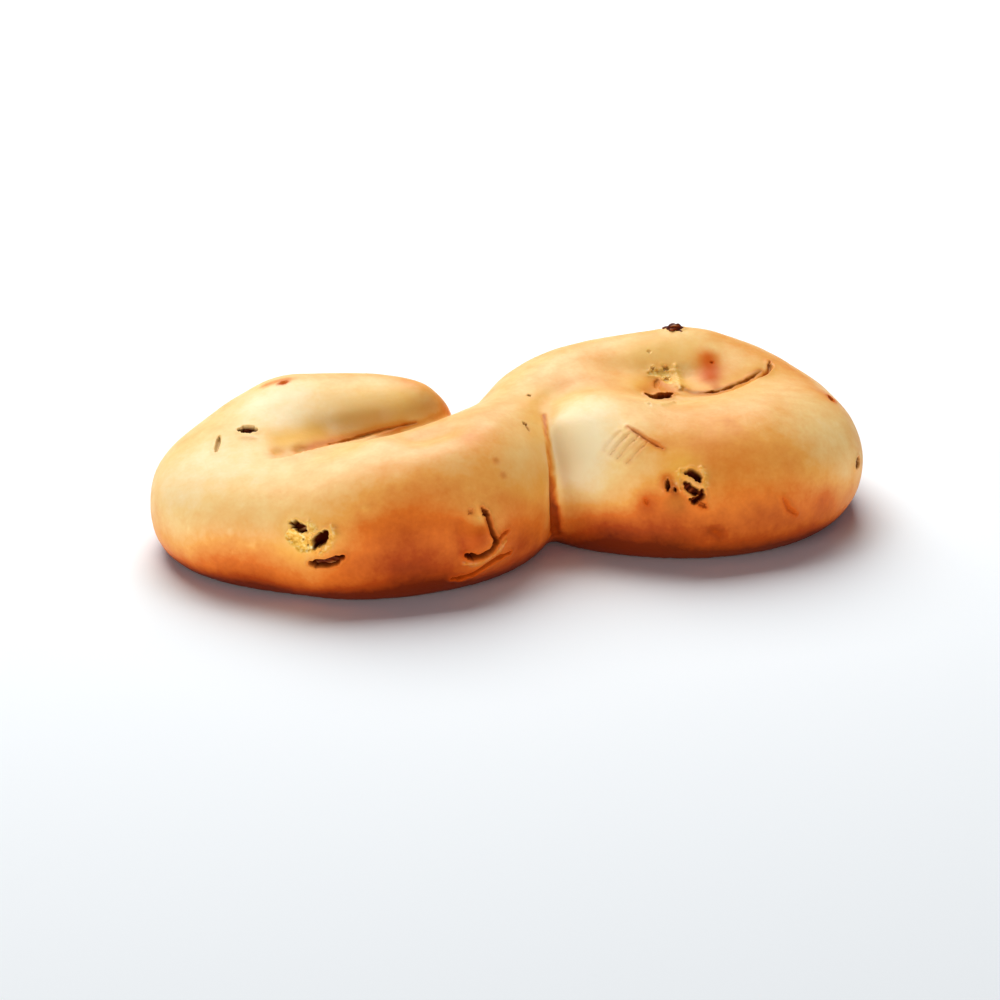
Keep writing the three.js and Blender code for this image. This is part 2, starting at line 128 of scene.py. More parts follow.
# ---- marks on the crust ----
# Pixels of the photograph that a mark follows; half width in mm; how far it goes in, or stands up where
# it is below zero; height of its rim; raggedness; then its dark, its crumb, its red. The dark is painted
# shade in splits, holes and seam lines, and the colour of a few dark spots.
Mark = namedtuple("Mark", "path half_width depth rim ragged dark crumb red", defaults=(0,) * 5)
MARKS = {
    # torn place at the left front: two splits over one raisin, crumb between, a third split below
    "split_left": Mark([(291, 523), (297, 525), (303, 528), (307, 531)], 0.85, 2.2, 0.3, 0.5, dark=1,
                       crumb=0.5),
    "split_left_tooth": Mark([(296, 526), (298, 531)], 0.4, 1.4, 0.1, 0.3, dark=1, crumb=0.3),
    "split_middle": Mark([(325, 533), (321, 539), (315, 547)], 1.1, 2.4, 0.4, 0.35, dark=1, crumb=0.5),
    "torn_crumb": Mark([(292, 535), (300, 541), (309, 547)], 1.5, 0.5, 0.2, 0.6, crumb=1.0),
    "crumb_pore": Mark([(302, 539), (303, 540)], 0.3, 0.5, 0, 0.1, dark=0.5),
    "crumb_pore_low": Mark([(307, 545), (308, 546)], 0.3, 0.5, 0, 0.1, dark=0.6),
    "split_lip": Mark([(331, 526), (334, 535), (330, 545), (321, 553)], 0.8, -0.8, crumb=0.5),
    "split_bridge": Mark([(308, 523), (314, 528), (311, 533)], 0.7, -0.5, crumb=0.8),
    "split_low": Mark([(311, 562.5), (326, 563), (343, 557)], 0.9, 2.2, 0.3, 0.15, dark=1, red=0.4),
    # a raisin under a thin skin, split round one side
    "hook": Mark([(481, 508), (486, 515), (488.5, 526), (491.5, 534), (495, 541), (490, 549),
                 (482, 554), (472, 556.5), (465, 554)], 0.5, 1.5, 0.25, 0.2, dark=0.8, red=0.6),
    "hook_elbow": Mark([(492, 537), (495, 541), (491, 546)], 0.8, 1.5, 0.1, 0.25, dark=0.9, red=0.5),
    "hook_foot": Mark([(467, 554.5), (475, 556)], 0.8, 1.5, 0.1, 0.25, dark=1, red=0.5),
    "hook_top": Mark([(482, 511), (487, 514)], 0.75, 1.2, 0.1, 0.25, dark=0.8, red=0.3),
    "hook_dot": Mark([(470.5, 511), (471.5, 512)], 0.8, 0.3, 0.05, 0.1, dark=0.15, red=0.3),
    "hook_branch": Mark([(495.5, 540), (502, 534.5), (507, 530)], 0.35, 0.6, 0.15, 0.1, dark=0.3,
                        red=0.6),
    "hook_lip": Mark([(504, 540), (498, 548), (487, 556), (477, 562), (464, 563)], 0.8, -0.6,
                     crumb=0.25),
    "low_crease": Mark([(509, 552), (495.5, 558), (484.5, 565.5), (473, 573), (462, 577), (452, 578)],
                       0.6, 0.9, 0.2, 0.15, dark=0.35, red=0.6),
    # left lobe, on top
    "slit": Mark([(240, 429.5), (247, 429), (255, 430)], 1.1, 2.0, 0.1, 0.05, dark=1, crumb=0.1),
    "slit_lip": Mark([(240, 437), (255, 438)], 0.7, -0.25, red=0.2),
    "slit_side": Mark([(219, 437), (216, 451)], 0.5, 0.7, 0.1, 0.1, dark=0.35, crumb=0.3),
    "left_rim_split": Mark([(280, 384), (286, 382)], 0.6, 0.25, 0.05, 0.15, dark=0.25, red=0.9),
    # crater over the raisin in the right lobe's hollow
    "crater": Mark([(648, 395), (655, 397.5), (663, 396), (669.5, 393)], 1.2, 2.4, 0.2, 0.35, dark=1,
                   crumb=0.2, red=0.5),
    "crater_pore_left": Mark([(652, 368), (653, 369)], 0.6, 0.5, 0.1, 0.2, dark=0.25, crumb=0.3),
    "crater_pore_right": Mark([(664, 367), (667, 369)], 0.7, 0.5, 0.1, 0.2, dark=0.25, crumb=0.3),
    "crater_pore_top": Mark([(648, 351.5), (650, 351.5)], 0.6, 0.3, 0, 0.1, dark=0.1, crumb=0.2),
    "crater_notch": Mark([(656, 386), (658, 379)], 0.6, 0.3, 0, 0.2, dark=0.15, crumb=0.1, red=0.4),
    "crater_crumb": Mark([(650, 374), (664, 372), (668, 382)], 1.0, 0.2, 0.15, 0.7, crumb=0.7),
    "crater_tooth": Mark([(665, 377), (667, 378)], 0.7, -0.6, crumb=0.7),
    "crater_ridge": Mark([(675, 366), (678, 380), (680, 389)], 1.1, -0.5, crumb=0.6),
    "crater_lip": Mark([(648, 403), (660, 405), (674, 403)], 1.0, -0.4, crumb=0.25),
    "red_spot": Mark([(711, 363), (712, 364)], 0.4, 0.4, 0, 0.1, dark=0.3, red=0.9),
    "seam_dot": Mark([(711, 391), (714.5, 391)], 0.6, 0.6, 0.05, 0.1, dark=0.5),
    "seam_end": Mark([(758, 379), (765, 376), (770, 370), (769, 364)], 0.45, 0.7, 0.1, 0.1, dark=0.25,
                     crumb=0.1, red=0.3),
    # painted shadow: the thin dark brown lines at the bottom of the two seams
    "seam_right_line": Mark([(700, 392), (716, 391), (728, 387), (740, 382), (752, 376.5), (760, 372)],
                            0.3, 0.4, 0.1, 0.25, dark=0.28, crumb=0.1, red=0.3),
    "seam_left_line": Mark([(330, 440), (345, 437), (360, 434), (376, 430.5), (390, 428), (404, 425.5),
                           (416, 423)], 0.3, 0.3, 0, 0.25, dark=0.22, crumb=0.1, red=0.35),
    # the raisin that shows most, crossed by two strips of crust
    "window_left": Mark([(667.5, 479), (667, 484), (667.5, 490)], 0.5, 1.6, 0.2, 0.2, dark=0.7,
                        crumb=0.2, red=0.3),
    "window_left_low": Mark([(674.5, 488), (676, 491)], 0.4, 1.2, 0.1, 0.2, dark=0.6, crumb=0.2,
                            red=0.3),
    "window_top": Mark([(686, 473), (692, 473), (698, 477), (700.5, 482)], 0.75, 2.2, 0.25, 0.25,
                       dark=1, crumb=0.15, red=0.1),
    "window_middle": Mark([(685, 483), (690, 488), (695, 491), (700, 493)], 0.75, 2.3, 0.15, 0.25,
                          dark=1, crumb=0.1, red=0.1),
    "window_low": Mark([(690, 499.5), (695, 500.5), (701, 497), (703, 491)], 0.7, 2.2, 0.2, 0.3, dark=1,
                       crumb=0.1, red=0.2),
    "window_tail": Mark([(699, 502), (706, 507)], 0.6, 0.9, 0.1, 0.3, dark=0.3, red=0.5),
    "window_rim": Mark([(701, 468), (705, 478), (704, 490)], 0.9, -0.5, crumb=0.4),
    "window_rim_left": Mark([(680, 470), (677, 480), (680, 490)], 0.7, -0.5, crumb=0.4),
    # small ones
    "pinhole": Mark([(524, 423), (526, 425)], 0.55, 1.2, 0.05, 0.05, dark=0.8, crumb=0.2, red=0.1),
    "pinhole_tail": Mark([(526, 426), (530, 431)], 0.3, 0.5, 0, 0.05, dark=0.4, red=0.1),
    "pinhole_upper": Mark([(528.5, 394.5), (530, 396)], 0.5, 0.4, 0, 0.1, dark=0.4),
    "right_slit": Mark([(628, 427), (638, 434), (650, 442), (663, 449)], 0.3, 0.45, 0.15, 0.15,
                       dark=0.15, red=0.5),
    "right_end_fold": Mark([(783, 498), (788, 508), (796, 514)], 0.4, 0.4, 0.12, 0.1, dark=0.05,
                           red=0.5),
    "right_small": Mark([(645.5, 500), (647, 504)], 0.4, 0.3, 0, 0.1, dark=0.1, red=0.6),
    "right_shoulder": Mark([(828, 400), (830, 404)], 0.7, 1.0, 0.1, 0.2, dark=0.5, red=0.8),
    "right_side_split": Mark([(859, 458), (857, 466)], 0.9, 1.5, 0.2, 0.3, dark=1, red=0.2),
    "centre_mark": Mark([(495, 460), (497, 461)], 0.4, 0.15, 0, 0.1, dark=0.15, red=0.4),
    "centre_mark_low": Mark([(502, 475), (504, 476)], 0.4, 0.15, 0, 0.1, dark=0.1, red=0.4),
    # stretched skin: fine parallel wrinkles
    **{f"wrinkle_{number}": Mark([low, high], 0.3, 0.3, 0.15, dark=0.05, red=0.15)
       for number, low, high in ((1, (611, 454), (629, 434)), (2, (618, 458), (638, 437)),
                                 (3, (627, 463), (647, 443)))},
    "wrinkle_4": Mark([(604, 450), (620, 432)], 0.25, 0.2, 0.1, red=0.1),
}

# Splits that no pixel gives, along the raisin under them: how its name starts, how far the split runs
# each way as a share of its length, half the split's width as a share of its width, then as a mark.
SPLITS_BY_RAISIN = [
    ("raisin_back", 0.2, 0.2, {"depth": 2.2, "rim": 0.35, "ragged": 0.5, "dark": 1, "crumb": 0.5,
                               "red": 0.2}),
    ("raisin_right_rim", 0.12, 0.38, {"depth": 1.6, "rim": 0.3, "ragged": 0.5, "dark": 0.8,
                                      "crumb": 0.5, "red": 0.2}),
]

# Soft spots along pixels of the photograph, real stains as well as painted shade and painted light:
# radius in mm, how far the crust rises there in mm, then how much browner, more golden and redder it is.
StainAndShading = namedtuple("StainAndShading", "path radius rise browner golden redder", defaults=(0,) * 4)
STAINS_AND_SHADING = [
    # browner on the front and low down, partly baking and partly painted shade
    StainAndShading([(404, 548)], 14, browner=0.34),
    StainAndShading([(395, 585)], 10, browner=0.12),
    StainAndShading([(450, 505)], 9, browner=0.06, redder=0.1),
    StainAndShading([(450, 582)], 7, browner=0.12),
    StainAndShading([(250, 574)], 11, browner=0.22),
    StainAndShading([(600, 536)], 7, browner=0.3),
    StainAndShading([(655, 540)], 10, browner=0.4),
    StainAndShading([(725, 450)], 14, browner=0.12, golden=0.15),
    StainAndShading([(740, 510)], 12, browner=0.22),
    StainAndShading([(800, 515)], 12, browner=0.22),
    StainAndShading([(524, 535)], 9, browner=0.26, redder=0.05),
    # paler on the faces lit from the left, partly a paler crust and partly painted highlight
    StainAndShading([(200, 470)], 14, browner=-0.2),
    StainAndShading([(290, 405)], 10, browner=-0.28),
    StainAndShading([(325, 475)], 11, browner=-0.1),
    StainAndShading([(585, 430)], 9, browner=-0.3),
    # more tones of the crust
    StainAndShading([(615, 365)], 12, browner=0.04, golden=0.1),
    StainAndShading([(480, 440)], 10, browner=0.08),
    StainAndShading([(533, 402), (545, 396)], 4, browner=-0.08, golden=0.45),
    # painted highlight low on the right lobe's lit flank
    StainAndShading([(595, 475)], 7, browner=-0.15),
    # the strand behind, along the seams: painted shade and painted light
    # painted shade: an orange band on the strand behind the left seam
    StainAndShading([(318, 438), (345, 430), (378, 421)], 2.8, browner=0.02, golden=0.4, redder=0.2),
    # painted light: the valley behind the left seam painted paler and golden where it lies in shade
    StainAndShading([(350, 412), (402, 408)], 6, browner=-0.1, golden=0.6),
    StainAndShading([(345, 418), (375, 413)], 4, browner=-0.14, golden=0.75),
    # painted shadow: thin dark lines along the bottom of the left seam
    StainAndShading([(312, 442), (337, 436), (356, 432), (376, 427), (390, 425.5), (404, 424)], 1.1, browner=0.32,
          golden=0.1, redder=0.2),
    StainAndShading([(404, 426), (420, 423), (437, 418), (446, 412)], 0.8, browner=0.22, golden=0.3),
    StainAndShading([(378, 434), (390, 432), (398, 430.5)], 0.9, browner=0.3, golden=0.3, redder=0.15),
    # the crust's own colours where the left seam ends: a golden fold, an orange spot and a dark one
    StainAndShading([(282, 438), (300, 435), (318, 431)], 3.5, rise=-0.4, browner=0.12, golden=0.9),
    StainAndShading([(277, 449)], 1.3, rise=-0.4, browner=0.3, golden=0.8),
    StainAndShading([(298, 446), (303, 444)], 1.1, rise=-0.6, browner=0.5, golden=0.7),
    # painted shade on the strand behind the right seam, golden, with a thin dark line at its bottom
    StainAndShading([(690, 388), (712, 390), (735, 383), (758, 374)], 5, browner=0.05, golden=0.5),
    StainAndShading([(682, 388), (692, 391), (702, 391.5), (713, 391), (726, 387), (740, 381.5), (752, 376),
          (760, 371)], 0.9, browner=0.6, golden=0.3, redder=0.1),
    # painted shade in the front crease, red brown towards its foot; beside it painted shade on the strand
    # turned away on its left, and painted light on the right lobe's flank where the crease shades it
    StainAndShading([(556, 533), (555, 515), (553.5, 497), (551.5, 475), (549, 452), (546, 432), (544, 415)], 0.5,
          rise=-0.15, browner=0.5, redder=0.2),
    StainAndShading([(556, 534), (556, 522), (555.5, 510)], 1.0, rise=-0.2, browner=0.5, redder=0.35),
    StainAndShading([(555.5, 508), (554, 492), (552.5, 478)], 0.6, browner=0.25, redder=0.25),
    StainAndShading([(562, 430), (568, 465)], 4, rise=0.7, browner=-0.2, golden=0.22),
    StainAndShading([(543, 480), (540, 445), (534, 402)], 4, browner=0.1, golden=0.4),
    StainAndShading([(543, 460), (530, 475)], 7, browner=-0.1, golden=0.3, redder=0.12),
    # crests of the rope, a little lower or higher than the smooth rope gives
    StainAndShading([(420, 431), (437, 426)], 6, rise=-2.2),
    StainAndShading([(380, 441)], 5, rise=0.8),
    StainAndShading([(330, 449)], 5, rise=-0.5),
    StainAndShading([(425, 393), (437, 405)], 5, rise=0.8, browner=0.05),
    StainAndShading([(715, 338), (745, 350), (775, 363), (805, 381), (828, 402)], 8, rise=0.9, browner=0.04),
    # painted shade: the far rims browner, against the glow the light from behind gives them
    StainAndShading([(405, 382), (425, 392), (440, 405)], 2.5, browner=0.12),
    StainAndShading([(720, 341), (745, 351), (775, 365), (800, 379), (825, 400)], 3.0, browner=0.1),
    # over the raisins
    StainAndShading([(477, 537)], 3.0, rise=1.2, browner=0.32, redder=0.3),
    # painted highlight on the upper left of the raisin's dome
    StainAndShading([(479, 520)], 1.0, rise=0.1, browner=-0.12),
    # painted shade along the dome's left foot
    StainAndShading([(460, 524), (458, 537), (463, 550)], 1.6, rise=-0.3, browner=0.14, redder=0.1),
    StainAndShading([(708, 359), (711, 378)], 2.5, rise=0.3, browner=0.25, redder=0.8),
    StainAndShading([(713, 531), (721, 536)], 1.0, rise=-0.4, browner=0.35, redder=0.6),
    StainAndShading([(520, 510)], 9, browner=0.1, redder=0.15),
    StainAndShading([(714, 384), (718, 389)], 1.2, browner=0.25, redder=0.3),
    StainAndShading([(650, 389), (657, 382), (666, 388)], 2.6, rise=-0.4, browner=0.35, golden=0.5, redder=0.15),
    StainAndShading([(640, 385), (668, 372), (676, 385)], 5, golden=0.5),
    # painted light and gold on the slope that faces away from the light behind
    StainAndShading([(645, 352), (690, 348)], 7, browner=-0.06, golden=0.4),
    StainAndShading([(266, 385), (288, 379)], 1.2, browner=0.25, redder=0.3),
    StainAndShading([(300, 538)], 5, browner=-0.05, golden=0.5),
    # painted shade below the raisin that shows most
    StainAndShading([(677, 502)], 3, browner=0.25, golden=0.2),
    StainAndShading([(683, 465)], 4, golden=0.5),
    StainAndShading([(667, 478), (671, 483), (675, 490)], 1.3, rise=-0.2, browner=0.3, golden=0.1, redder=0.05),
    StainAndShading([(689, 481), (695, 484), (701, 488)], 0.7, rise=0.1, browner=-0.15, redder=0.2),
    StainAndShading([(680, 489), (685, 493), (691, 496)], 0.7, rise=0.1, browner=-0.15, redder=0.2),
    StainAndShading([(647, 502)], 2.5, browner=0.18, redder=0.15),
    StainAndShading([(826, 497)], 3, browner=0.15, redder=0.2),
    # painted light on the right end, which the lamps leave darker
    StainAndShading([(845, 450), (835, 432)], 8, browner=-0.1),
    StainAndShading([(654, 440)], 3, browner=0.12, golden=0.15),
    StainAndShading([(340, 575)], 5, browner=0.08, redder=0.1),
    # blisters: raised, with painted highlights as paler spots on them
    StainAndShading([(364, 508)], 0.9, rise=0.45, browner=-0.1),
    *[StainAndShading([pixel], 0.6, rise=0.25, browner=-0.1) for pixel in ((231, 532), (252, 547), (234, 553))],
    *[StainAndShading([pixel], 0.6, rise=0.2, browner=-0.1) for pixel in ((190, 529), (202, 534), (214, 537))],
]

# The whole crust: how browned it is on top; bands of more towards the tray, partly browning and partly
# painted shade low on the sides, as below this height in mm, over this many mm, by this much; soft
# unevenness, as size in mm, height in mm and seed.
TOP_BROWNING = 0.29
BROWNER_BANDS = [(15, 14, 0.27), (6, 6, 0.28), (4, 4, 0.15)]
UNEVENNESS = [(9, 0.14, 1), (3.5, 0.04, 2)]


# ---- field of the dough ----
def smooth_rows(rows, count):
    """Points at even parameter steps on a smooth line through rows."""
    rows = np.array(rows, float)
    rows = np.vstack([2 * rows[0] - rows[1], rows, 2 * rows[-1] - rows[-2]])
    t = np.linspace(0, len(rows) - 3, count)
    i = np.minimum(t.astype(int), len(rows) - 4)
    u = (t - i)[:, None]
    a, b, c, d = rows[i], rows[i + 1], rows[i + 2], rows[i + 3]
    return 0.5 * (2 * b + (c - a) * u + (2 * a - 5 * b + 4 * c - d) * u ** 2
                  + (3 * b - a - 3 * c + d) * u ** 3)


def beads_of(rows, first, last):
    """Soft beads along the rope: x, y, half width, height and share of the sum."""
    beads = smooth_rows(rows, (len(rows) - 1) * BEADS_PER_SPAN + 1)
    beads = beads[first * BEADS_PER_SPAN:last * BEADS_PER_SPAN + 1]
    half_steps = np.hypot(*np.diff(beads[:, :2], axis=0).T) / 2
    share = np.zeros(len(beads))
    share[:-1] += half_steps
    share[1:] += half_steps
    share[[0, -1]] *= 2
    return np.column_stack([beads, share * math.sqrt(BEAD_SOFTNESS / math.pi) / beads[:, 2]])


STRAND_BEADS = [beads_of(ROPE, first, last) for first, last in STRANDS]
FILL_BEADS = [beads_of(rows, 0, len(rows) - 1) for rows in FILLS]


def plan_of(beads, places):
    """How far each place in plan is from the rope's middle, and the height of the rope there."""
    total, heights = np.zeros(len(places)), np.zeros(len(places))
    for x, y, half_width, height, share in beads:
        r2 = ((places[:, 0] - x) ** 2 + (places[:, 1] - y) ** 2) / half_width ** 2
        e = share * np.exp(-BEAD_SOFTNESS * r2)
        total += e
        heights += e * height
    total = np.maximum(total, 1e-30)
    return -np.log(total) / BEAD_SOFTNESS, heights / total


def strand_field(reach, height, z):
    """Below zero inside a strand whose plan field and height these are."""
    half = np.where(z > WIDEST_Z, height - WIDEST_Z, WIDEST_Z + UNDERCUT)
    q = reach + np.abs((z - WIDEST_Z) / half) ** ROUND
    return (np.sqrt(np.maximum(q, 1e-6)) - 1) * WALL_SCALE


def blend(a, b, width):
    """The nearer of two fields, rounded over width where they meet."""
    h = np.clip(0.5 + 0.5 * (b - a) / width, 0, 1)
    return b + (a - b) * h - width * h * (1 - h)


def plan_fields(places):
    """What the field needs of each place in plan, so that a column of the grid shares it."""
    return ([plan_of(beads, places) for beads in STRAND_BEADS],
            [plan_of(beads, places) for beads in FILL_BEADS])


def field_from(plans, z):
    """The dough's field without its swellings, at heights z over the places of these plans."""
    (left, middle, right), fills = plans
    f = blend(strand_field(*left, z), strand_field(*middle, z), CREASE_BLEND)
    f = blend(f, strand_field(*right, z), CREASE_BLEND)
    for fill in fills:
        f = blend(f, strand_field(*fill, z), FILL_BLEND)
    return f


def swell(points, centres):
    """How far the crust rises over the raisins."""
    return sum(SWELL_HEIGHT * np.exp(-((points - at) ** 2).sum(1) / SWELL_RADIUS ** 2)
               for at in centres)


def dough_field(points, centres=()):
    """Below zero inside the dough; about millimetres near the crust."""
    return field_from(plan_fields(points[:, :2]), points[:, 2]) - swell(points, centres)


def to_crust(points, centres=(), steps=3):
    """Moves points onto the crust; returns them and the crust's normals."""
    points, reach = points.copy(), 0.25
    for _ in range(steps):
        f = dough_field(points, centres)
        slope = np.stack([dough_field(points + reach * axis, centres) - f for axis in np.eye(3)], 1)
        slope /= reach
        points -= slope * (f / np.maximum((slope ** 2).sum(1), 0.05))[:, None]
    return points, slope / np.linalg.norm(slope, axis=1, keepdims=True)


# ---- where the photograph shows things ----
def seen_on_crust(paths, centres):
    """For each list of pixels of the photograph, the points of the crust that show there."""
    forward = CAMERA_LOOKS_AT - CAMERA_AT
    forward /= np.linalg.norm(forward)
    right = np.cross(forward, (0, 0, 1))
    right /= np.linalg.norm(right)
    up = np.cross(right, forward)
    pixels = np.array([pixel for path in paths for pixel in path], float)
    rays = (forward + right * ((pixels[:, :1] - PIXELS / 2) / FOCAL_PIXELS)
            - up * ((pixels[:, 1:] - PIXELS / 2) / FOCAL_PIXELS))
    reach = np.full(len(pixels), SIGHT_START)
    closest, closest_reach = np.full(len(pixels), 1e9), reach.copy()
    for _ in range(SIGHT_STEPS):
        f = dough_field(CAMERA_AT + reach[:, None] * rays, centres)
        nearer = f < closest
        closest, closest_reach = np.where(nearer, f, closest), np.where(nearer, reach, closest_reach)
        reach = reach + np.where(closest > 0.05, np.clip(f * 0.7, 0.2, 20), 0)
    points = to_crust(CAMERA_AT + closest_reach[:, None] * rays, centres)[0]
    return np.split(points, np.cumsum([len(path) for path in paths])[:-1])


# ---- crust mesh ----
def surface_nets(values, low, step):
    """One vertex in each grid cell that the surface passes through, and the squares that join them."""
    inside = values < 0
    shape = values.shape
    corners = [np.array((i, j, k)) for i in (0, 1) for j in (0, 1) for k in (0, 1)]
    count = sum(inside[i:shape[0] - 1 + i, j:shape[1] - 1 + j, k:shape[2] - 1 + k].astype(int)
                for i, j, k in corners)
    mixed = (count > 0) & (count < 8)
    cells = np.argwhere(mixed)
    index = -np.ones(mixed.shape, int)
    index[mixed] = np.arange(len(cells))
    total, crossings = np.zeros((len(cells), 3)), np.zeros(len(cells))
    for a in corners:
        for b in corners:
            if np.abs(a - b).sum() != 1 or (b - a).sum() < 0:
                continue
            va, vb = values[tuple((cells + a).T)], values[tuple((cells + b).T)]
            crossed = (va < 0) != (vb < 0)
            t = np.where(crossed, va / (va - vb + 1e-12), 0)
            total[crossed] += (a + (b - a) * t[:, None])[crossed]
            crossings[crossed] += 1
    vertices = low + (cells + total / crossings[:, None]) * step
    squares = []
    for axis in range(3):
        along = np.eye(3, dtype=int)[axis]
        here = inside[:shape[0] - along[0], :shape[1] - along[1], :shape[2] - along[2]]
        there = inside[along[0]:, along[1]:, along[2]:]
        edges = np.argwhere(here != there)
        u, v = [n for n in range(3) if n != axis]
        edges = edges[(edges[:, u] > 0) & (edges[:, v] > 0)
                      & (edges[:, u] < shape[u] - 1) & (edges[:, v] < shape[v] - 1)]
        ring = [edges.copy() for _ in range(4)]
        ring[1][:, u] -= 1
        ring[2][:, [u, v]] -= 1
        ring[3][:, v] -= 1
        faces = np.stack([index[tuple(cell.T)] for cell in ring], 1)
        outwards = here[tuple(edges.T)] == (axis != 1)
        faces[~outwards] = faces[~outwards][:, ::-1]
        squares.append(faces)
    return vertices, np.vstack(squares)


GRID = 1.09                    # mm, edge of a facet away from the marks
GRID_LOW, GRID_HIGH = np.array([-82.0, -41.0, -3.0]), np.array([82.0, 42.0, 35.0])
NEAR_A_MARK = 2.4              # mm round every mark and seam within which facets are halved
DEEP = 0.25                    # mm, facets are halved again near marks deeper than this
NEAR_DEEP_MARKS = (1.9, 1.1)   # mm round them, once for each
ON_TRAY = 0.12                 # mm, facets lower than this are the flat tray side
FOOT = 2.5                     # mm above the tray over which the relief fades in


def bare_crust(centres):
    """The dough with its swellings, cut flat at the tray, as points and squares."""
    axes = [np.arange(a, b, GRID) for a, b in zip(GRID_LOW, GRID_HIGH)]
    columns = np.stack(np.meshgrid(axes[0], axes[1], indexing="ij"), -1).reshape(-1, 2)
    plans = plan_fields(columns)
    values = np.stack([field_from(plans, np.full(len(columns), z)) for z in axes[2]], -1)
    points = np.concatenate([np.repeat(columns, len(axes[2]), 0),
                             np.tile(axes[2], len(columns))[:, None]], 1)
    values = np.maximum(values.reshape(-1), -points[:, 2])
    near = np.abs(values) < 4                  # mm, far more than a swelling rises
    values[near] -= swell(points[near], centres) * (values[near] > -points[near, 2])
    return surface_nets(values.reshape([len(a) for a in axes]), GRID_LOW, GRID)


def refine(bm, places, radius):
    """Halves the facets within radius mm of the places, but not on the tray."""
    near = []
    for face in bm.faces:
        c = np.array(face.calc_center_median())
        if c[2] > 0.4 and (((places - c) ** 2).sum(1) < radius ** 2).any():
            near.append(face)
    edges = list({edge for face in near for edge in face.edges})
    bmesh.ops.subdivide_edges(bm, edges=edges, cuts=1, use_grid_fill=True)
    bmesh.ops.triangulate(bm, faces=[face for face in bm.faces if len(face.verts) > 4])


def smooth_noise(points, size, seed):
    """Soft random field of about -1 to 1 whose lumps are about size mm across."""
    rng = np.random.default_rng(seed)
    total = np.zeros(len(points))
    for _ in range(14):
        direction = rng.normal(size=3)
        direction *= 2 * math.pi / (size * 2.2 * rng.uniform(0.7, 1.4) * np.linalg.norm(direction))
        total += np.sin(points @ direction + rng.uniform(0, 2 * math.pi))
    return total / 4.2


def gentle(x):
    """0 to 1 with soft ends."""
    x = np.clip(x, 0, 1)
    return x * x * (3 - 2 * x)


def distance_to_line(points, line):
    """Distance to a line, how far along it the nearest place is, that place and the line's step there."""
    best, along = np.full(len(points), 1e9), np.zeros(len(points))
    nearest, steps = np.zeros_like(points), np.zeros_like(points)
    for i in range(len(line) - 1):
        step = line[i + 1] - line[i]
        t = np.clip((points - line[i]) @ step / max(step @ step, 1e-9), 0, 1)
        place = line[i] + t[:, None] * step
        d = np.linalg.norm(points - place, axis=1)
        nearer = d < best
        best = np.where(nearer, d, best)
        along = np.where(nearer, (i + t) / (len(line) - 1), along)
        nearest[nearer] = place[nearer]
        steps[nearer] = step / max(math.sqrt(step @ step), 1e-9)
    return best, along, nearest, steps


def around_line(points, line, reach):
    """Indices of the points that can be within reach of a line."""
    middle = (line.min(0) + line.max(0)) / 2
    reach += np.linalg.norm(line - middle, axis=1).max()
    return np.nonzero(((points - middle) ** 2).sum(1) < reach ** 2)[0]


def seat(row):
    """Where a raisin lies: its middle under the crust, its long side along the crust."""
    name, near, size, degrees, stands_out = row
    at, normal = to_crust(np.array([near], float), steps=8)
    at, normal = at[0], normal[0]
    level = np.cross((0, 0, 1), normal)
    if level @ level < 0.05:
        level = np.array([1.0, 0, 0])
    level -= normal * (level @ normal)
    level /= np.linalg.norm(level)
    turn = math.radians(degrees)
    level = level * math.cos(turn) + np.cross(normal, level) * math.sin(turn)
    across = np.cross(normal, level)
    lift = stands_out + SWELL_HEIGHT - size[2] / 2
    return {"name": name, "size": size, "crust": at, "level": level, "across": across,
            "normal": normal, "at": at + lift * normal,
            "sink": stands_out - BARE.get(name, -COVER)}


def all_marks(raisins, centres):
    """Every mark with its line on the crust; the raisins out of the photograph's sight get one too."""
    lines = seen_on_crust([mark.path for mark in MARKS.values()], centres)
    marks = [mark._replace(path=line) for line, mark in zip(lines, MARKS.values())]
    for raisin in raisins:
        long, wide, _ = raisin["size"]
        middle = raisin["crust"] + SWELL_HEIGHT * raisin["normal"]
        for start, run, half, finish in SPLITS_BY_RAISIN:
            if raisin["name"].startswith(start):
                end = run * long * raisin["level"]
                marks.append(Mark(np.array([middle - end, middle + end]), half * wide, **finish))
    return marks


def add_marks(points, marks):
    """How far the marks lift each point of the crust, and how dark, crumbly and red they make it."""
    lift, dark, crumb, red = (np.zeros(len(points)) for _ in range(4))
    for number, mark in enumerate(marks):
        near = around_line(points, mark.path, mark.half_width * 2 + 3)
        around = points[near]
        d, along, _, _ = distance_to_line(around, mark.path)
        # half as wide at its two ends
        width = mark.half_width * np.clip(np.sin(math.pi * np.clip(along, 0.03, 0.97)) * 2.2, 0.5, 1)
        if mark.depth < 0:
            bulk = np.exp(-(d / width) ** 2)
            lift[near] -= mark.depth * bulk
            crumb[near] = np.maximum(crumb[near], mark.crumb * bulk)
            red[near] = np.maximum(red[near], mark.red * bulk)
            continue
        edge = d - width + mark.ragged * 0.6 * (smooth_noise(around, 1.5, 50 + 3 * number)
                                                + 0.5 * smooth_noise(around, 0.7, 51 + 3 * number))
        # from the edge in mm: a rim outside, a steep wall, then colours that reach out a little more
        lift[near] += (mark.rim * np.exp(-((edge - 0.4) / 0.5) ** 2)
                       - mark.depth * gentle(0.3 - edge / 0.5))
        # painted shade inside the mark, dark red brown
        dark[near] = np.maximum(dark[near], mark.dark * gentle(0.5 - edge / 0.4))
        crumb[near] = np.maximum(crumb[near], mark.crumb * gentle(1 - edge / 0.6))
        red[near] = np.maximum(red[near], mark.red * gentle(1 - edge / 1.0))
    return lift, dark, crumb, red


